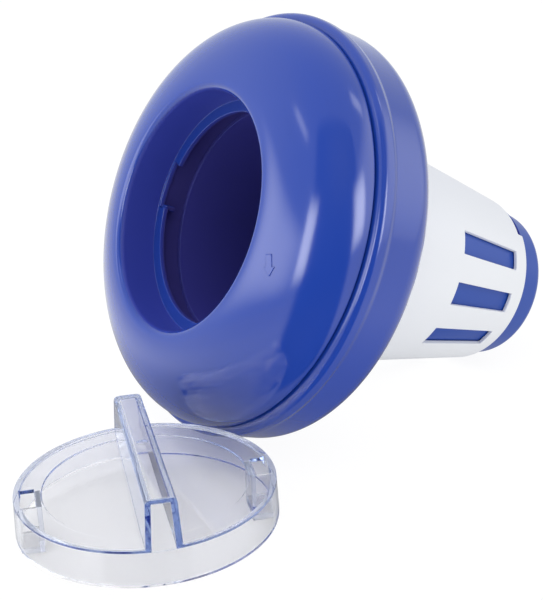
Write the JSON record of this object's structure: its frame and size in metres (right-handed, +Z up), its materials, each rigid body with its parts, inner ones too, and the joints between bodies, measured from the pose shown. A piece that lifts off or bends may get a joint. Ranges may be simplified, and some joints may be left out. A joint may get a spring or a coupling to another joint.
{
  "type": "floating chlorine dispenser",
  "caption": "Ring-shaped pool float with a tablet canister, a turning slotted sleeve that meters the flow, and a clear twist-lock lid with a grip bar, shown lying open.",
  "frame": {"origin": "on the floor, under the middle of the bounding box of the whole part with its lid lying beside it", "axes": "+Z up; +X along the floor from the mouth towards the canister's end; +Y across, away from the lid. The dispenser's own axis lies in a plane parallel to XZ and falls by about 23 degrees towards +X."},
  "size_m": [0.2454, 0.172, 0.1496],
  "materials": {
    "float_blue": "glossy moulded plastic",
    "canister_blue": "semi-gloss moulded plastic",
    "sleeve_white": "satin moulded plastic",
    "lid_clear": "clear polished plastic with a faint blue tint"
  },
  "bodies": {
    "float": {"float_upper_shell": "float_blue", "float_lower_shell": "float_blue", "feed_canister": "canister_blue"},
    "sleeve": {"flow_sleeve": "sleeve_white"},
    "lid": {"lid": "lid_clear"}
  },
  "joints": [
    {"name": "sleeve_turn", "type": "hinge", "parent": "float", "child": "sleeve", "pos_m": [0.05881, 0.0077, 0.04908], "axis": [-0.9202, 0, 0.3914], "range_deg": [0, 42.75]},
    {"name": "lid_lift", "type": "slide", "parent": "float", "child": "lid", "axis": [-0.9202, 0, 0.3914], "range_m": [0, 0.1]}
  ]
}
